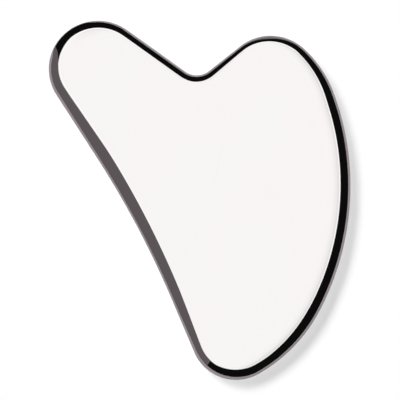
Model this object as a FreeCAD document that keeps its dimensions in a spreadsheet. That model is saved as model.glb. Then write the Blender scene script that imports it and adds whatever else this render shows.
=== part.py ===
import FreeCAD, Part
import math
import os

import Sketcher

# A heart-shaped gua sha scraper: one plate of stainless steel, cut to outline, its rim
# ground to a full round on both sides and the whole of it polished.
#
# Frame: the plate lies flat on its back face, which is z = 0. +Y runs along the length,
# from the tip to the small lobe, +X across the width, from the long hollow flank to the
# belly, and the origin is under the middle of the plate's outer box.
#
# The outline is a closed chain of tangent arcs and straight lines. Leans are in degrees
# from the nearest axis. Turns are the heading of the edge, in degrees from +X, where one
# belly arc hands over to the next, going anticlockwise seen from above. The radii of the
# low and the middle belly are what closes the outline between those headings.
DIMENSIONS = [
    ("tool_length", 88.0, "overall size along Y, from the tip to the top of the small lobe"),
    ("tool_width", 54.8, "overall size along X, from the flank to the belly"),
    ("plate_thickness", 4.5, "thickness of the steel plate"),
    ("rim_land", 0.1, "flat left at mid thickness between the two roundings of the rim"),
    ("small_lobe_radius", 10.9, "small lobe, which touches the top and the left of the box"),
    ("flank_top_lean", 4.5, "lean of the long flank where it leaves the small lobe"),
    ("flank_hollow_radius", 214.0, "shallow hollow in the middle of the long flank"),
    ("flank_low_lean", 5.1, "lean of the long flank where it reaches the tip"),
    ("tip_radius", 9.9, "rounded tip, which touches the bottom and the left of the box"),
    ("tip_turn", 2.0, "heading where the tip hands over to the low belly"),
    ("low_belly_turn", 34.4, "heading where the low belly hands over to the middle belly"),
    ("middle_belly_turn", 81.5, "heading where the middle belly hands over to the shoulder"),
    ("shoulder_radius", 25.9, "widest part of the belly, which touches the right of the box"),
    ("big_lobe_radius", 10.7, "big lobe at the top right"),
    ("big_lobe_setback", 0.8, "gap from the big lobe's circle to the right of the box"),
    ("big_lobe_drop", 21.0, "gap from the big lobe's circle to the top of the box"),
    ("brow_lean", 11.2, "lean of the straight brow from the big lobe into the jaw notch"),
    ("jaw_notch_radius", 4.2, "round bottom of the jaw notch between the lobes"),
    ("jaw_flank_lean", 25.8, "lean of the straight flank from the notch to the small lobe"),
]
SIZE = {name: value for name, value, meaning in DIMENSIONS}

# How a sketch numbers the points of an edge.
START, END, CENTRE = 1, 2, 3


def heading(degrees):
    """A vector of length 1 at an angle from +X."""
    angle = math.radians(degrees)
    return FreeCAD.Vector(math.cos(angle), math.sin(angle), 0)


def crossing(normal_a, reach_a, normal_b, reach_b):
    """The point that lies reach_a along normal_a and reach_b along normal_b."""
    spread = normal_a.x * normal_b.y - normal_a.y * normal_b.x
    x = (reach_a * normal_b.y - reach_b * normal_a.y) / spread
    y = (reach_b * normal_a.x - reach_a * normal_b.x) / spread
    return FreeCAD.Vector(x, y, 0)


def arc(centre, radius, from_angle, to_angle):
    """An anticlockwise arc between two directions, in degrees, from its centre."""
    circle = Part.Circle(centre, FreeCAD.Vector(0, 0, 1), radius)
    return Part.ArcOfCircle(circle, math.radians(from_angle), math.radians(to_angle))


def outline_edges(size):
    """The outline's edges in order, worked out from the sizes with plane geometry.

    The sketch gets its shape from these and its sizes from its constraints, so the two
    agree before the sketch is solved.
    """
    half_length = size["tool_length"] / 2
    half_width = size["tool_width"] / 2
    small_radius = size["small_lobe_radius"]
    hollow_radius = size["flank_hollow_radius"]
    tip_radius = size["tip_radius"]
    shoulder_radius = size["shoulder_radius"]
    big_radius = size["big_lobe_radius"]
    notch_radius = size["jaw_notch_radius"]

    # Outward normals of the straight edges and of the three belly handovers.
    flank_top = 180 + size["flank_top_lean"]
    flank_low = 180 - size["flank_low_lean"]
    brow = 90 + size["brow_lean"]
    jaw_flank = size["jaw_flank_lean"]
    tip_end = size["tip_turn"] - 90
    low_end = size["low_belly_turn"] - 90
    middle_end = size["middle_belly_turn"] - 90

    # The lobes and the tip sit against the sides of the outer box.
    small_lobe = FreeCAD.Vector(small_radius - half_width, half_length - small_radius, 0)
    tip = FreeCAD.Vector(tip_radius - half_width, tip_radius - half_length, 0)
    big_lobe = FreeCAD.Vector(half_width - size["big_lobe_setback"] - big_radius,
                              half_length - size["big_lobe_drop"] - big_radius, 0)

    # The flank's hollow touches both straight ends of the flank from outside.
    hollow = crossing(heading(flank_top),
                      small_lobe.dot(heading(flank_top)) + small_radius + hollow_radius,
                      heading(flank_low),
                      tip.dot(heading(flank_low)) + tip_radius + hollow_radius)

    # The notch touches the brow and the jaw flank from outside.
    notch = crossing(heading(brow), big_lobe.dot(heading(brow)) + big_radius + notch_radius,
                     heading(jaw_flank),
                     small_lobe.dot(heading(jaw_flank)) + small_radius + notch_radius)

    # The shoulder touches the right side of the box and holds the big lobe inside it.
    shoulder_x = half_width - shoulder_radius
    reach = shoulder_radius - big_radius
    shoulder = FreeCAD.Vector(
        shoulder_x, big_lobe.y - math.sqrt(reach ** 2 - (big_lobe.x - shoulder_x) ** 2), 0)
    shoulder_end = math.degrees(math.asin((big_lobe.y - shoulder.y) / reach))

    # Two belly radii close the chain of centres from the tip to the shoulder:
    # low_radius * low_sweep + middle_radius * middle_sweep = gap.
    low_sweep = heading(low_end) - heading(tip_end)
    middle_sweep = heading(middle_end) - heading(low_end)
    gap = (shoulder + heading(middle_end) * shoulder_radius
           - tip - heading(tip_end) * tip_radius)
    spread = low_sweep.cross(middle_sweep).z
    low_radius = gap.cross(middle_sweep).z / spread
    middle_radius = low_sweep.cross(gap).z / spread
    low_belly = tip + heading(tip_end) * (tip_radius - low_radius)
    middle_belly = low_belly + heading(low_end) * (low_radius - middle_radius)

    return [
        ("small_lobe", arc(small_lobe, small_radius, jaw_flank, flank_top)),
        ("flank_top", Part.LineSegment(
            small_lobe + heading(flank_top) * small_radius,
            hollow - heading(flank_top) * hollow_radius)),
        ("flank_hollow", arc(hollow, hollow_radius, flank_low - 180, flank_top - 180)),
        ("flank_low", Part.LineSegment(
            hollow - heading(flank_low) * hollow_radius,
            tip + heading(flank_low) * tip_radius)),
        ("tip", arc(tip, tip_radius, flank_low, tip_end + 360)),
        ("low_belly", arc(low_belly, low_radius, tip_end, low_end)),
        ("middle_belly", arc(middle_belly, middle_radius, low_end, middle_end)),
        ("shoulder", arc(shoulder, shoulder_radius, middle_end, shoulder_end)),
        ("big_lobe", arc(big_lobe, big_radius, shoulder_end, brow)),
        ("brow", Part.LineSegment(
            big_lobe + heading(brow) * big_radius,
            notch - heading(brow) * notch_radius)),
        ("jaw_notch", arc(notch, notch_radius, jaw_flank + 180, brow + 180)),
        ("jaw_flank", Part.LineSegment(
            notch - heading(jaw_flank) * notch_radius,
            small_lobe + heading(jaw_flank) * small_radius)),
    ]


# How the outline's edges are held: arcs that bend into the plate, arcs whose radius is in the
# sheet, the centres that stand a set way from the outer box, the angles of the straight edges
# from +X, and the angles from +X of the spokes to the ends of three arcs.
HOLLOWS = ("flank_hollow", "jaw_notch")
ROUNDS = ("small_lobe", "flank_hollow", "tip", "shoulder", "big_lobe", "jaw_notch")
CENTRES = [
    ("small_lobe", "X", "sizes.small_lobe_radius - sizes.tool_width / 2"),
    ("small_lobe", "Y", "sizes.tool_length / 2 - sizes.small_lobe_radius"),
    ("tip", "X", "sizes.tip_radius - sizes.tool_width / 2"),
    ("tip", "Y", "sizes.tip_radius - sizes.tool_length / 2"),
    ("shoulder", "X", "sizes.tool_width / 2 - sizes.shoulder_radius"),
    ("big_lobe", "X", "sizes.tool_width / 2 - sizes.big_lobe_setback - sizes.big_lobe_radius"),
    ("big_lobe", "Y", "sizes.tool_length / 2 - sizes.big_lobe_drop - sizes.big_lobe_radius"),
]
STRAIGHTS = [
    ("flank_top", "sizes.flank_top_lean - 90"),
    ("flank_low", "-90 - sizes.flank_low_lean"),
    ("brow", "sizes.brow_lean - 180"),
    ("jaw_flank", "90 + sizes.jaw_flank_lean"),
]
SPOKES = [
    ("tip", "sizes.tip_turn - 90"),
    ("low_belly", "sizes.low_belly_turn - 90"),
    ("middle_belly", "sizes.middle_belly_turn - 90"),
]


def origin_plane(body, role):
    """One of the body's own origin planes."""
    return next(plane for plane in body.Origin.OriginFeatures if plane.Role == role)


def draw_outline(body, size):
    """The plate's outline: every edge tangent to the next, every size from the sheet."""
    sketch = body.newObject("Sketcher::SketchObject", "outline")
    sketch.AttachmentSupport = [(origin_plane(body, "XY_Plane"), "")]
    sketch.MapMode = "FlatFace"
    edges = outline_edges(size)
    sketch.addGeometry([edge for name, edge in edges], False)
    number = {name: index for index, (name, edge) in enumerate(edges)}

    def drive(name, constraint, expression):
        index = sketch.addConstraint(constraint)
        sketch.renameConstraint(index, name)
        sketch.setExpression("Constraints." + name, expression)

    # A hollow arc is passed against its own sense, so its ends swap.
    for index, (name, edge) in enumerate(edges):
        following = (index + 1) % len(edges)
        leaving = START if name in HOLLOWS else END
        arriving = END if edges[following][0] in HOLLOWS else START
        sketch.addConstraint(
            Sketcher.Constraint("Tangent", index, leaving, following, arriving))

    for name in ROUNDS:
        drive(name + "_radius",
              Sketcher.Constraint("Radius", number[name], sketch.Geometry[number[name]].Radius),
              "sizes." + name + "_radius")

    for name, axis, expression in CENTRES:
        centre = sketch.Geometry[number[name]].Center
        drive(name + "_" + axis.lower(),
              Sketcher.Constraint("Distance" + axis, number[name], CENTRE,
                                  centre.x if axis == "X" else centre.y),
              expression)

    for name, expression in STRAIGHTS:
        line = sketch.Geometry[number[name]]
        run = line.EndPoint - line.StartPoint
        drive(name + "_angle",
              Sketcher.Constraint("Angle", number[name], math.atan2(run.y, run.x)),
              expression)

    # A spoke from an arc's centre to its end holds the heading of each belly handover.
    for name, expression in SPOKES:
        round_edge = sketch.Geometry[number[name]]
        spoke = sketch.addGeometry(
            Part.LineSegment(round_edge.Center, round_edge.EndPoint), True)
        run = round_edge.EndPoint - round_edge.Center
        sketch.addConstraint(
            Sketcher.Constraint("Coincident", spoke, START, number[name], CENTRE))
        sketch.addConstraint(
            Sketcher.Constraint("Coincident", spoke, END, number[name], END))
        drive(name + "_spoke",
              Sketcher.Constraint("Angle", spoke, math.atan2(run.y, run.x)),
              expression)
    return sketch


doc = FreeCAD.newDocument("gua_sha_scraper")

sheet = doc.addObject("Spreadsheet::Sheet", "sizes")
for row, (name, value, meaning) in enumerate(DIMENSIONS, start=1):
    sheet.set(f"A{row}", meaning)
    sheet.set(f"B{row}", str(value))
    sheet.setAlias(f"B{row}", name)
doc.recompute()

# The scraper plate is the whole tool: there is nothing fixed to it and nothing inside it.
plate = doc.addObject("PartDesign::Body", "scraper_plate")
plate.Label = "scraper_plate"
plate.Placement = FreeCAD.Placement(FreeCAD.Vector(0, 0, 0), FreeCAD.Rotation())

outline = draw_outline(plate, SIZE)
doc.recompute()

blank = plate.newObject("PartDesign::Pad", "cut_blank")
blank.Profile = outline
blank.setExpression("Length", "sizes.plate_thickness")
doc.recompute()

# Every edge of the two faces is rounded; the edges left out are the upright ones.
face_edges = [f"Edge{index}" for index, edge in enumerate(blank.Shape.Edges, start=1)
              if edge.BoundBox.ZLength < SIZE["plate_thickness"] / 2]
rim = plate.newObject("PartDesign::Fillet", "ground_rim")
rim.Base = (blank, face_edges)
rim.setExpression("Radius", "(sizes.plate_thickness - sizes.rim_land) / 2")
plate.Tip = rim
doc.recompute()

for item in doc.Objects:
    if "Invalid" in item.State or "Error" in item.State:
        raise RuntimeError(f"{item.Label} did not recompute: {item.State}")
if plate.Shape.isNull() or not plate.Shape.isValid():
    raise RuntimeError(f"{plate.Label} has no valid shape")

os.makedirs("parts", exist_ok=True)
plate.Shape.exportStep(f"parts/{plate.Label}.step")
box = blank.Shape.BoundBox
print(f"{plate.Label}: {len(plate.Shape.Solids)} solid, {plate.Shape.Volume:.0f} mm3, "
      f"{box.XLength:.2f} x {box.YLength:.2f} x {box.ZLength:.2f} mm")
for index, (name, edge) in enumerate(outline_edges(SIZE)):
    print(f"{name}: {outline.Geometry[index].length():.2f} mm long")
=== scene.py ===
import math

import bpy
import numpy as np
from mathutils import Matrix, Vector


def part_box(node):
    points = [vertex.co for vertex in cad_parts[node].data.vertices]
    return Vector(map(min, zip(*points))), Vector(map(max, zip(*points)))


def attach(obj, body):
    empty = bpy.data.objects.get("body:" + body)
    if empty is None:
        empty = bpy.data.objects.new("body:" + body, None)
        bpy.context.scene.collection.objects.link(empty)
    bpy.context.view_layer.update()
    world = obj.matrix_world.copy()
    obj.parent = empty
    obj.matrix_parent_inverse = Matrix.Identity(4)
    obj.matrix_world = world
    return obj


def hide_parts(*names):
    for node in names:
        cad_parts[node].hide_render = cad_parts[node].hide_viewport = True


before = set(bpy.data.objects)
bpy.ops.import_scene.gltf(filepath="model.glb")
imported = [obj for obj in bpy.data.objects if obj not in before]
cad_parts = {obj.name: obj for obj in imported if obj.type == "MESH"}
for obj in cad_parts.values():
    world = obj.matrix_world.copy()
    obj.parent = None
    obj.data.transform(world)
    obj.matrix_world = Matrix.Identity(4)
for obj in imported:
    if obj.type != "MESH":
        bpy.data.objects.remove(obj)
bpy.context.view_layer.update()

# ---------------------------------------------------------------------------------------
# The scraper plate.
# One plate of stainless steel: cut to a heart-like outline, its rim ground to a full round
# on both sides, then buffed all over to a mirror. Nothing is fixed to it.

MM = 0.001

plate_low, plate_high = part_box("scraper_plate")
half_width = (plate_high.x - plate_low.x) / 2
half_length = (plate_high.y - plate_low.y) / 2
half_thickness = (plate_high.z - plate_low.z) / 2
plate_middle = (plate_low + plate_high) / 2

small_lobe_radius = 10.9 * MM
hollow_radius = 214.0 * MM
tip_radius = 9.9 * MM
shoulder_radius = 25.9 * MM
big_lobe_radius = 10.7 * MM
big_lobe_setback = 0.8 * MM
big_lobe_drop = 21.0 * MM
notch_radius = 4.2 * MM

# Outward headings, in degrees from +X, of the straight edges and of the belly's handovers.
flank_top = 180 + 4.5
flank_low = 180 - 5.1
tip_end = 270 + 2.0
low_belly_end = 270 + 34.4
middle_belly_end = 270 + 81.5
brow = 360 + 90 + 11.2
jaw_flank = 360 + 25.8


def heading(degrees):
    """A flat vector of length 1 at an angle from +X."""
    angle = math.radians(degrees)
    return Vector((math.cos(angle), math.sin(angle)))


def crossing(normal_a, reach_a, normal_b, reach_b):
    """The point that lies reach_a along normal_a and reach_b along normal_b."""
    spread = normal_a.cross(normal_b)
    x = (reach_a * normal_b.y - reach_b * normal_a.y) / spread
    y = (reach_b * normal_a.x - reach_a * normal_b.x) / spread
    return Vector((x, y))


# The lobes and the tip stand against the sides of the plate's box.
small_lobe = Vector((small_lobe_radius - half_width, half_length - small_lobe_radius))
tip = Vector((tip_radius - half_width, tip_radius - half_length))
big_lobe = Vector((half_width - big_lobe_setback, half_length - big_lobe_drop))
big_lobe -= Vector((big_lobe_radius, big_lobe_radius))

# The two hollows touch the straight edges on either side of them.
flank_hollow = crossing(
    heading(flank_top),
    small_lobe.dot(heading(flank_top)) + small_lobe_radius + hollow_radius,
    heading(flank_low),
    tip.dot(heading(flank_low)) + tip_radius + hollow_radius)
jaw_notch = crossing(
    heading(brow),
    big_lobe.dot(heading(brow)) + big_lobe_radius + notch_radius,
    heading(jaw_flank),
    small_lobe.dot(heading(jaw_flank)) + small_lobe_radius + notch_radius)

# The shoulder touches the right side of the box and holds the big lobe inside it.
shoulder_x = half_width - shoulder_radius
shoulder_reach = shoulder_radius - big_lobe_radius
shoulder_rise = math.sqrt(shoulder_reach ** 2 - (big_lobe.x - shoulder_x) ** 2)
shoulder = Vector((shoulder_x, big_lobe.y - shoulder_rise))
shoulder_end = 360 + math.degrees(math.asin(shoulder_rise / shoulder_reach))

# Two belly radii close the outline from the tip to the shoulder.
low_sweep = heading(low_belly_end) - heading(tip_end)
middle_sweep = heading(middle_belly_end) - heading(low_belly_end)
belly_gap = (shoulder + heading(middle_belly_end) * shoulder_radius
             - tip - heading(tip_end) * tip_radius)
belly_spread = low_sweep.cross(middle_sweep)
low_belly_radius = belly_gap.cross(middle_sweep) / belly_spread
middle_belly_radius = low_sweep.cross(belly_gap) / belly_spread
low_belly = tip + heading(tip_end) * (tip_radius - low_belly_radius)
middle_belly = low_belly + heading(low_belly_end) * (low_belly_radius - middle_belly_radius)

# The round stretches, anticlockwise: centre, radius (below zero in a hollow), the outward
# headings between which it runs, and how wide the rounding was ground at its two ends, in
# mm. A gap from one stretch to the next is a straight edge.
ROUND_STRETCHES = [
    (small_lobe, small_lobe_radius, jaw_flank - 360, flank_top, 2.4, 2.7),
    (flank_hollow, -hollow_radius, flank_top, flank_low, 3.65, 2.8),
    (tip, tip_radius, flank_low, tip_end, 2.05, 2.45),
    (low_belly, low_belly_radius, tip_end, low_belly_end, 2.35, 2.8),
    (middle_belly, middle_belly_radius, low_belly_end, middle_belly_end, 2.65, 2.8),
    (shoulder, shoulder_radius, middle_belly_end, shoulder_end, 2.7, 2.35),
    (big_lobe, big_lobe_radius, shoulder_end, brow, 2.35, 1.73),
    (jaw_notch, -notch_radius, brow, jaw_flank, 2.2, 2.4),
]
STATION_STEP = 0.35 * MM
WIDTH_BLEND = 4.0 * MM


def outline_stations():
    """Points along the outline, their outward headings and the rounding's width there."""
    points = []
    normals = []
    widths = []

    def add(point, normal, width):
        points.append(point)
        normals.append(normal)
        widths.append(width * MM)

    for index, stretch in enumerate(ROUND_STRETCHES):
        centre, radius, start, end, start_width, end_width = stretch
        steps = math.ceil(math.radians(abs(end - start)) * abs(radius) / STATION_STEP)
        for step in range(steps):
            along = step / steps
            normal = heading(start + (end - start) * along)
            add(centre + normal * radius, normal, start_width + (end_width - start_width) * along)

        following = ROUND_STRETCHES[(index + 1) % len(ROUND_STRETCHES)]
        normal = heading(end)
        edge_start = centre + normal * radius
        edge_end = following[0] + normal * following[1]
        steps = math.ceil((edge_end - edge_start).length / STATION_STEP - 0.5)
        for step in range(steps):
            along = step / steps
            add(edge_start.lerp(edge_end, along), normal,
                end_width + (following[4] - end_width) * along)
    return np.array(points), np.array(normals), np.array(widths)


def blended(widths):
    """The widths with their corners taken off, as a belt grinder can't change in a step."""
    reach = round(WIDTH_BLEND / STATION_STEP)
    weights = np.cos(np.linspace(-math.pi / 2, math.pi / 2, 2 * reach + 1)) ** 2
    padded = np.concatenate([widths[-reach:], widths, widths[:reach]])
    return np.convolve(padded, weights / weights.sum(), "valid")


# Across the rim the section is a flattened round, a little fuller than an ellipse. The face
# itself falls away by a hair before it, because a soft buff rolls over every edge.
ROUND_FULLNESS = 2.3
ROUND_STEPS = 22
BUFF_ROLL_WIDTH = 2.1 * MM
BUFF_ROLL_DROP = 0.14 * MM
BUFF_ROLL_STEPS = 7


def buff_drop(share):
    """How far the buff rolled the steel down, from 0 at the face's border to 1 at the rim."""
    return BUFF_ROLL_DROP * share ** 2 * (3 - 2 * share)


def section(widths):
    """Rings from the flat of the face to mid thickness: inset from the outline, height."""
    rings = []
    span = widths + BUFF_ROLL_WIDTH
    for step in range(BUFF_ROLL_STEPS):
        share = BUFF_ROLL_WIDTH / span * step / BUFF_ROLL_STEPS
        rings.append((span * (1 - share), half_thickness - buff_drop(share)))

    round_height = half_thickness - BUFF_ROLL_DROP
    for step in range(ROUND_STEPS + 1):
        tilt = math.radians(90 * step / ROUND_STEPS)
        if step < ROUND_STEPS:
            ratio = (widths / round_height * math.tan(tilt)) ** (1 / (ROUND_FULLNESS - 1))
            up = (1 + ratio ** ROUND_FULLNESS) ** (-1 / ROUND_FULLNESS)
            out = ratio * up
        else:
            up = np.zeros_like(widths)
            out = np.ones_like(widths)
        share = (BUFF_ROLL_WIDTH + out * widths) / span
        height = up * round_height + BUFF_ROLL_DROP - buff_drop(share)
        rings.append((widths * (1 - out), height))
    return rings


def build_plate():
    """The closed plate: rings from the front face round the rim to the back face."""
    points, normals, widths = outline_stations()
    widths = blended(widths)
    front = section(widths)
    back = [(inset, -height) for inset, height in reversed(front[:-1])]
    vertices = []
    closeness = []
    for inset, height in front + back:
        flat = points - normals * inset[:, None]
        vertices.extend(np.column_stack([flat, plate_middle.z + height]).tolist())
        closeness.extend((1 - inset / (widths + BUFF_ROLL_WIDTH)).tolist())

    around = len(points)
    rings = len(front) + len(back)
    faces = [list(range(around))]
    for ring in range(rings - 1):
        for station in range(around):
            following = (station + 1) % around
            upper = ring * around
            lower = upper + around
            faces.append([upper + station, lower + station,
                          lower + following, upper + following])
    faces.append([(rings - 1) * around + station for station in reversed(range(around))])

    mesh = bpy.data.meshes.new("polished_plate")
    mesh.from_pydata(vertices, [], faces)
    mesh.validate()
    mesh.shade_smooth()
    to_rim = mesh.attributes.new("closeness_to_rim", "FLOAT", "POINT")
    to_rim.data.foreach_set("value", closeness)
    return mesh


plate = bpy.data.objects.new("polished_plate", build_plate())
bpy.context.scene.collection.objects.link(plate)


def linear(hex_colour):
    """An sRGB hex colour as linear red, green, blue and alpha."""
    channels = [int(hex_colour[start:start + 2], 16) / 255 for start in (1, 3, 5)]
    return [c / 12.92 if c <= 0.04045 else ((c + 0.055) / 1.055) ** 2.4 for c in channels] + [1]


def add_node(tree, kind, settings, inputs):
    """Adds a node. An input is a number, a colour or the output socket that feeds it."""
    node = tree.nodes.new(kind)
    for name, value in settings.items():
        setattr(node, name, value)
    for name, value in inputs.items():
        if isinstance(value, bpy.types.NodeSocket):
            tree.links.new(value, node.inputs[name])
        else:
            node.inputs[name].default_value = value
    return node


# Mirror-polished stainless steel, buffed with a soft wheel: a clean reflection with only a
# trace of haze, a few hairlines from wiping and use, and a slow ripple that the eye sees
# only where a reflection bends.
STEEL = "#CCCBCB"
STEEL_WARM = "#CFCACA"
MIRROR_ROUGHNESS = 0.025
BUFF_PATCH = 18 * MM
HAZE_ROUGHNESS = 0.045
HAZE_STARTS = 0.35
HAZE_FULL = 0.7
WORN_ROUGHNESS = 0.09
WORN_FROM = 0.8
BUFF_RIPPLE = 6 * MM
BUFF_RIPPLE_HEIGHT = 0.002 * MM
# A real hairline is a few hundredths of a millimetre wide. It is drawn about five times as
# wide, so that it still shows when the whole plate is in view.
HAIRLINE_WIDTH = 0.12 * MM
HAIRLINE_LENGTH = 14 * MM
HAIRLINE_DEPTH = 0.0005 * MM
HAIRLINE_ROUGHNESS = 0.08
HAIRLINE_TURNS = (12, 74, 131)
# A crest is the part of a noise cell that becomes a hairline: its share of the cell's width,
# and the noise levels at which it starts and is full.
CREST_SHARE = 0.25
CREST_STARTS = 0.74
CREST_FULL = 0.82
# Each wiping direction reads another part of the noise, this many cells further on.
NOISE_STEP = (7.3, 0.0, 3.1)


def polished_steel():
    material = bpy.data.materials.new("mirror_polished_stainless_steel")
    material.use_nodes = True
    tree = material.node_tree
    tree.nodes.clear()
    place = add_node(tree, "ShaderNodeTexCoord", {}, {}).outputs["Object"]

    # Haze: the buff leaves patches that are a shade less clear than the rest.
    patches = add_node(tree, "ShaderNodeTexNoise", {}, {
        "Vector": place, "Scale": 1 / BUFF_PATCH, "Detail": 2.0, "Roughness": 0.55})
    tint = add_node(tree, "ShaderNodeMix", {"data_type": "RGBA"}, {
        0: patches.outputs["Fac"], 6: linear(STEEL), 7: linear(STEEL_WARM)})
    haze = add_node(tree, "ShaderNodeMapRange", {}, {
        "Value": patches.outputs["Fac"], "From Min": HAZE_STARTS, "From Max": HAZE_FULL,
        "To Min": MIRROR_ROUGHNESS, "To Max": HAZE_ROUGHNESS})

    # Wear: the outermost part of the round rubs on skin, cloth and table, and dulls a little.
    to_rim = add_node(tree, "ShaderNodeAttribute", {"attribute_name": "closeness_to_rim"}, {})
    rubbed = add_node(tree, "ShaderNodeMapRange", {"interpolation_type": "SMOOTHSTEP"}, {
        "Value": to_rim.outputs["Fac"], "From Min": WORN_FROM, "From Max": 1.0,
        "To Min": haze.outputs["Result"], "To Max": WORN_ROUGHNESS})

    # Hairlines: long thin cells of noise, cut to their crests, in a few wiping directions.
    hairlines = None
    for number, turn in enumerate(HAIRLINE_TURNS):
        turned = add_node(tree, "ShaderNodeVectorRotate", {"rotation_type": "Z_AXIS"}, {
            "Vector": place, "Angle": math.radians(turn)})
        stretched = add_node(tree, "ShaderNodeVectorMath", {"operation": "MULTIPLY"}, {
            0: turned.outputs["Vector"],
            1: (1 / HAIRLINE_LENGTH, CREST_SHARE / HAIRLINE_WIDTH, 1 / HAIRLINE_LENGTH)})
        moved = add_node(tree, "ShaderNodeVectorMath", {"operation": "ADD"}, {
            0: stretched.outputs["Vector"], 1: Vector(NOISE_STEP) * number})
        cells = add_node(tree, "ShaderNodeTexNoise", {}, {
            "Vector": moved.outputs["Vector"], "Scale": 1.0, "Detail": 0.0})
        crests = add_node(tree, "ShaderNodeMapRange", {}, {
            "Value": cells.outputs["Fac"], "From Min": CREST_STARTS, "From Max": CREST_FULL})
        if hairlines is None:
            hairlines = crests.outputs["Result"]
        else:
            hairlines = add_node(tree, "ShaderNodeMath", {"operation": "MAXIMUM"}, {
                0: hairlines, 1: crests.outputs["Result"]}).outputs["Value"]
    roughness = add_node(tree, "ShaderNodeMapRange", {}, {
        "Value": hairlines, "To Min": rubbed.outputs["Result"], "To Max": HAIRLINE_ROUGHNESS})

    # Ripple and scratch depth, as height in metres.
    ripple = add_node(tree, "ShaderNodeTexNoise", {}, {
        "Vector": place, "Scale": 1 / BUFF_RIPPLE, "Detail": 0.0})
    waved = add_node(tree, "ShaderNodeBump", {}, {
        "Height": ripple.outputs["Fac"], "Strength": 1.0, "Distance": BUFF_RIPPLE_HEIGHT})
    scratched = add_node(tree, "ShaderNodeBump", {"invert": True}, {
        "Height": hairlines, "Strength": 1.0, "Distance": HAIRLINE_DEPTH,
        "Normal": waved.outputs["Normal"]})

    steel = add_node(tree, "ShaderNodeBsdfPrincipled", {}, {
        "Base Color": tint.outputs[2], "Metallic": 1.0,
        "Roughness": roughness.outputs["Result"], "Normal": scratched.outputs["Normal"]})
    add_node(tree, "ShaderNodeOutputMaterial", {}, {"Surface": steel.outputs["BSDF"]})
    return material


plate.data.materials.append(polished_steel())
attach(plate, "root")
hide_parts("scraper_plate")

# ---------------------------------------------------------------------------------------
# The table.
# A smooth, matt white sheet that the plate lies on, lit until it is plain white. The steel
# mirrors a greyer copy of it, just below: a painted reflection that shows the table darker in the
# rim.

FLOOR_SIZE = 12.0
FLOOR_GAP = 0.01 * MM
FLOOR_WHITE = "#E6E6E6"
# Painted reflection: the tone of the greyer table that only the steel sees, darker than the white
# one.
FLOOR_IN_STEEL = "#A69FA2"


def lay_floor(name, hex_colour, level):
    """A flat square sheet of matt paper. It casts no shadow of its own."""
    mesh = bpy.data.meshes.new(name)
    half = FLOOR_SIZE / 2
    corners = [
        (-half, -half, level), (half, -half, level), (half, half, level), (-half, half, level)]
    mesh.from_pydata(corners, [], [(0, 1, 2, 3)])
    floor = bpy.data.objects.new(name, mesh)
    bpy.context.scene.collection.objects.link(floor)
    material = bpy.data.materials.new(name)
    material.use_nodes = True
    tree = material.node_tree
    tree.nodes.clear()
    paper = add_node(tree, "ShaderNodeBsdfDiffuse", {}, {"Color": linear(hex_colour)})
    add_node(tree, "ShaderNodeOutputMaterial", {}, {"Surface": paper.outputs["BSDF"]})
    mesh.materials.append(material)
    floor.visible_shadow = False
    return floor


white_floor = lay_floor("white_floor", FLOOR_WHITE, plate_low.z - FLOOR_GAP)
white_floor.visible_glossy = False
# The grey copy, seen only in the steel, paints a darker reflection of the table into the rim.
grey_floor = lay_floor("floor_in_steel", FLOOR_IN_STEEL, plate_low.z - 2 * FLOOR_GAP)
grey_floor.visible_camera = False
grey_floor.visible_diffuse = False

# ---------------------------------------------------------------------------------------
# The camera.
# It looks down from almost straight above through a long lens, turned so that the long flank
# leans. Its field is the width of the view at the plate.

VIEW_AZIMUTH = -27.86
VIEW_ELEVATION = 78.0
VIEW_DISTANCE = 0.8
VIEW_FIELD = 88.24 * MM
PLATE_RIGHT_OF_MIDDLE = 7.39 * MM
PLATE_ABOVE_MIDDLE = 8.03 * MM

azimuth = math.radians(VIEW_AZIMUTH)
elevation = math.radians(VIEW_ELEVATION)
view_right = Vector((math.cos(azimuth), math.sin(azimuth), 0))
view_back = Vector((math.sin(azimuth) * math.cos(elevation),
                    -math.cos(azimuth) * math.cos(elevation), math.sin(elevation)))
view_up = view_back.cross(view_right)
aim = plate_middle - view_right * PLATE_RIGHT_OF_MIDDLE - view_up * PLATE_ABOVE_MIDDLE

camera = bpy.data.objects.new("camera", bpy.data.cameras.new("camera"))
bpy.context.scene.collection.objects.link(camera)
camera.data.sensor_width = 36.0
camera.data.lens = camera.data.sensor_width * VIEW_DISTANCE / VIEW_FIELD
camera.data.clip_start = 0.01
camera.data.clip_end = 20.0
camera.location = aim + view_back * VIEW_DISTANCE
camera.rotation_mode = "QUATERNION"
camera.rotation_quaternion = view_back.to_track_quat("Z", "Y")
bpy.context.scene.camera = camera

# ---------------------------------------------------------------------------------------
# The softbox.
# A mirror shows what stands round it. This large white softbox hangs where the flat face
# mirrors it into the camera, and fills the face. Only the steel sees it.

SOFTBOX_HEIGHT = 0.5
SOFTBOX_HALF_WIDTH = 0.15
SOFTBOX_HALF_LENGTH = 0.19
SOFTBOX_GLOW = 1.53
WHITE = "#FFFFFF"
# The even part of the cloth, as shares of the softbox's half sizes, and how many times as far
# from its middle the cloth starts to dim and has dimmed in full.
EVEN_WIDTH = 0.30
EVEN_LENGTH = 0.40
DIM_STARTS = 1.45
DIM_FULL = 2.15
# The side on which it dims, right and a little up, and where along that line this begins.
WEAK_SIDE = (1.0, 0.45, 0.0)
WEAK_STARTS = -0.4
WEAK_FULL = 0.0
WEAK_GLOW = 0.82
# The bright border along the frame, which comes further in along the top side.
FRAME_STARTS = 0.82
FRAME_BLEND = 0.05
FRAME_GLOW = 1.1
FRAME_DEEPER_AT_TOP = (0.0, 0.1, 0.0)


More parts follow.
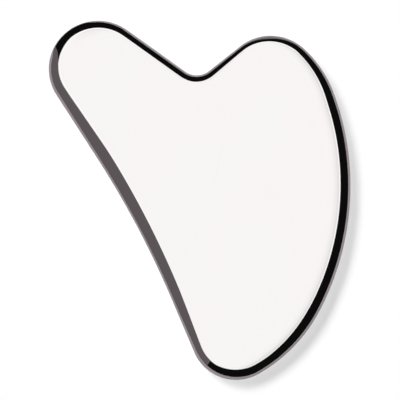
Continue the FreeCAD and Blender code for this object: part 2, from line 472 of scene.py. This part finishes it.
def hang_card(name, lower, upper, hex_colour, strength):
    """A glowing card between two rows of points, seen in the steel only.

    Its UV map runs from -1 to 1 both ways.
    """
    columns = len(lower)
    panels = []
    for column in range(columns - 1):
        above = columns + column
        panels.append((column, column + 1, above + 1, above))
    mesh = bpy.data.meshes.new(name)
    mesh.from_pydata([tuple(spot) for spot in lower + upper], [], panels)
    card_map = mesh.uv_layers.new(name="card_map")
    for loop, corner in zip(mesh.loops, card_map.data):
        row, column = divmod(loop.vertex_index, columns)
        corner.uv = (2 * column / (columns - 1) - 1, 2 * row - 1)
    material = bpy.data.materials.new(name)
    material.use_nodes = True
    tree = material.node_tree
    tree.nodes.clear()
    glow = add_node(tree, "ShaderNodeEmission", {}, {
        "Color": linear(hex_colour), "Strength": strength})
    add_node(tree, "ShaderNodeOutputMaterial", {}, {"Surface": glow.outputs["Emission"]})
    mesh.materials.append(material)
    card = bpy.data.objects.new(name, mesh)
    bpy.context.scene.collection.objects.link(card)
    card.visible_camera = False
    card.visible_diffuse = False
    card.visible_shadow = False
    return tree, glow


mirror_ray = Vector((-view_back.x, -view_back.y, view_back.z))
softbox_middle = plate_middle + mirror_ray * (SOFTBOX_HEIGHT / mirror_ray.z)
floor_up = Vector((-view_right.y, view_right.x, 0))
across = view_right * SOFTBOX_HALF_WIDTH
along = floor_up * SOFTBOX_HALF_LENGTH
softbox_tree, softbox_lamp = hang_card(
    "softbox",
    [softbox_middle - across - along, softbox_middle + across - along],
    [softbox_middle - across + along, softbox_middle + across + along],
    WHITE, SOFTBOX_GLOW)

# Its cloth is even over the part that the flat face shows, glows less to the right of that,
# and glows most along its frame.
card_place = add_node(softbox_tree, "ShaderNodeTexCoord", {}, {}).outputs["UV"]
from_middle = add_node(softbox_tree, "ShaderNodeVectorMath", {"operation": "MULTIPLY"}, {
    0: card_place, 1: (1 / EVEN_WIDTH, 1 / EVEN_LENGTH, 0)})
reach = add_node(softbox_tree, "ShaderNodeVectorMath", {"operation": "LENGTH"}, {
    0: from_middle.outputs["Vector"]}).outputs["Value"]
sideways = add_node(softbox_tree, "ShaderNodeVectorMath", {"operation": "DOT_PRODUCT"}, {
    0: card_place, 1: WEAK_SIDE}).outputs["Value"]
weak_side = add_node(softbox_tree, "ShaderNodeMapRange", {"interpolation_type": "SMOOTHSTEP"}, {
    "Value": sideways, "From Min": WEAK_STARTS, "From Max": WEAK_FULL,
    "To Min": 1.0, "To Max": WEAK_GLOW})
weaker = add_node(softbox_tree, "ShaderNodeMapRange", {}, {
    "Value": reach, "From Min": DIM_STARTS, "From Max": DIM_FULL,
    "To Min": 1.0, "To Max": weak_side.outputs["Result"]})
frame_place = add_node(softbox_tree, "ShaderNodeVectorMath", {"operation": "ADD"}, {
    0: card_place, 1: FRAME_DEEPER_AT_TOP})
to_sides = add_node(softbox_tree, "ShaderNodeVectorMath", {"operation": "ABSOLUTE"}, {
    0: frame_place.outputs["Vector"]})
sides = add_node(softbox_tree, "ShaderNodeSeparateXYZ", {}, {0: to_sides.outputs["Vector"]})
nearest_side = add_node(softbox_tree, "ShaderNodeMath", {"operation": "MAXIMUM"}, {
    0: sides.outputs["X"], 1: sides.outputs["Y"]})
framed = add_node(softbox_tree, "ShaderNodeMapRange", {}, {
    "Value": nearest_side.outputs["Value"],
    "From Min": FRAME_STARTS, "From Max": FRAME_STARTS + FRAME_BLEND,
    "To Min": weaker.outputs["Result"], "To Max": FRAME_GLOW})
cloth = add_node(softbox_tree, "ShaderNodeMath", {"operation": "MULTIPLY"}, {
    0: framed.outputs["Result"], 1: SOFTBOX_GLOW})
softbox_tree.links.new(cloth.outputs["Value"], softbox_lamp.inputs["Strength"])

# ---------------------------------------------------------------------------------------
# The cards round the plate.
# Strips of glowing card that stand on edge close to the outline, so that the rim shows dark
# against the table: black ones, a grey one along the long flank, and a low grey one behind
# the big lobe. Under their feet the rim mirrors the table. Only the steel sees them.

CARD_GAP = 1.0 * MM
BLACK_GLOW = 0.006
GREY = "#FFF3FA"
GREY_GLOW = 0.17
GREY_FORWARD = 0.2 * MM
LOW_GREY_GLOW = 0.26
LOW_SHARE_OF_HEIGHT = 0.25
# An end cut almost upright.
SHARP_END = 0.1

# For each card: where it starts and ends along the outline, over what length its two ends
# slope, all in mm, its share of the full height, its colour and its glow. Places run
# anticlockwise from the end of the jaw flank.
OUTLINE_CARDS = [
    ("black_card_lobe", -1.0, 22.0, SHARP_END, SHARP_END, 1.0, WHITE, BLACK_GLOW),
    ("black_card_belly", 98.6, 250.0, SHARP_END, SHARP_END, 1.0, WHITE, BLACK_GLOW),
    ("grey_card_flank", 18.5, 100.1, 3.0, 1.0, 1.0, GREY, GREY_GLOW),
    ("low_grey_card", 197.0, 210.0, 6.0, 6.0, LOW_SHARE_OF_HEIGHT, GREY, LOW_GREY_GLOW),
]
# How high the cards' feet stand above the table at places along the outline, in mm.
FOOT_HEIGHTS = [
    (0, 3.8), (8, 3.5), (10, 2.4), (19, 2.4), (21, 3.8), (36, 3.4), (60, 3.0), (85, 3.1),
    (98, 3.7), (112, 3.1), (140, 3.5), (190, 3.75), (250, 3.85)]
# The dark band in the rim starts at this share of the rounding's width.
BAND_START = 0.9
# Keeps the two divisions below from meeting a zero.
LEAST_SHARE = 0.001

stations, outward, widths = outline_stations()
widths = blended(widths)
strides = np.linalg.norm(np.roll(stations, -1, axis=0) - stations, axis=1)
places = np.cumsum(strides) - strides

# A card is as high as the line from the start of the band to the softbox's edge.
toward_right = outward @ np.array(view_right.xy)
toward_top = outward @ np.array(floor_up.xy)
middle_shift = SOFTBOX_HEIGHT * mirror_ray.xy.length / mirror_ray.z
to_softbox_edge = middle_shift * toward_top + np.minimum(
    SOFTBOX_HALF_WIDTH / np.maximum(np.abs(toward_right), LEAST_SHARE),
    SOFTBOX_HALF_LENGTH / np.maximum(np.abs(toward_top), LEAST_SHARE))
card_tops = plate_high.z + (CARD_GAP + BAND_START * widths) * SOFTBOX_HEIGHT / to_softbox_edge
foot_places, foot_heights = zip(*FOOT_HEIGHTS)
card_feet = np.interp(places / MM, foot_places, foot_heights) * MM
card_spots = stations + outward * CARD_GAP
lower_row = np.column_stack([card_spots, card_feet])
upper_row = np.column_stack([card_spots, card_tops])
outward = np.column_stack([outward, np.zeros(len(outward))])

# The last card closes the ring at the first station.
places = np.append(places, strides.sum())
lower_row = np.vstack([lower_row, lower_row[:1]])
upper_row = np.vstack([upper_row, upper_row[:1]])
outward = np.vstack([outward, outward[:1]])

for name, start, end, start_slope, end_slope, share, hex_colour, strength in OUTLINE_CARDS:
    chosen = (places > start * MM - STATION_STEP) & (places < end * MM)
    lower = lower_row[chosen]
    from_start = (places[chosen] / MM - start) / start_slope
    from_end = (end - places[chosen] / MM) / end_slope
    height = np.clip(np.minimum(from_start, from_end), 0.0, 1.0) * share
    upper = lower + (upper_row[chosen] - lower) * height[:, None]
    # The grey cards stand a hair in front of the black ones.
    if strength != BLACK_GLOW:
        lower = lower - outward[chosen] * GREY_FORWARD
        upper = upper - outward[chosen] * GREY_FORWARD
    hang_card(name, lower.tolist(), upper.tolist(), hex_colour, strength)

# ---------------------------------------------------------------------------------------
# The studio and its lamps.
# White walls all round, which the steel mirrors above the cards and which don't light the
# table, and three distant lamps that do: one straight above that casts no shadow, and two
# from behind on the left whose soft shadows overlap. None of the lamps shows in the steel.

STUDIO_GLOW = 1.3
# The table's radiance is 1.0 where no lamp is hidden. These are the lamps' parts of it.
TOP_FLOOR_GLOW = 0.6
KEY_FLOOR_GLOW = 0.2
# In degrees: how wide each lamp looks, how far the two keys lean from overhead, and where
# they stand, anticlockwise from the right of the view.
TOP_SPREAD = 18
KEY_SPREAD = 22
KEY_ZENITH = 43
KEY_LEFT = 155
KEY_RIGHT = 131

studio = bpy.data.worlds.new("studio")
studio.use_nodes = True
studio.node_tree.nodes["Background"].inputs["Color"].default_value = linear(WHITE)
studio.node_tree.nodes["Background"].inputs["Strength"].default_value = STUDIO_GLOW
studio.cycles_visibility.diffuse = False
bpy.context.scene.world = studio


def add_sun(name, zenith, toward, spread, floor_glow):
    """A distant lamp, its angles in degrees, set by how bright it makes the table."""
    rise = math.cos(math.radians(zenith))
    flat = heading(toward) * math.sin(math.radians(zenith))
    source = Vector((flat.x, flat.y, rise))
    light = bpy.data.lights.new(name, "SUN")
    light.angle = math.radians(spread)
    light.energy = floor_glow * math.pi / linear(FLOOR_WHITE)[0] / rise
    lamp = bpy.data.objects.new(name, light)
    bpy.context.scene.collection.objects.link(lamp)
    lamp.rotation_mode = "QUATERNION"
    lamp.rotation_quaternion = source.to_track_quat("Z", "Y")
    lamp.visible_glossy = False
    return lamp


top_light = add_sun("top_light", 0, 0, TOP_SPREAD, TOP_FLOOR_GLOW)
top_light.data.use_shadow = False
for name, toward in (("key_light_left", KEY_LEFT), ("key_light_right", KEY_RIGHT)):
    add_sun(name, KEY_ZENITH, toward + VIEW_AZIMUTH, KEY_SPREAD, KEY_FLOOR_GLOW)

bpy.context.scene.view_settings.view_transform = "Standard"
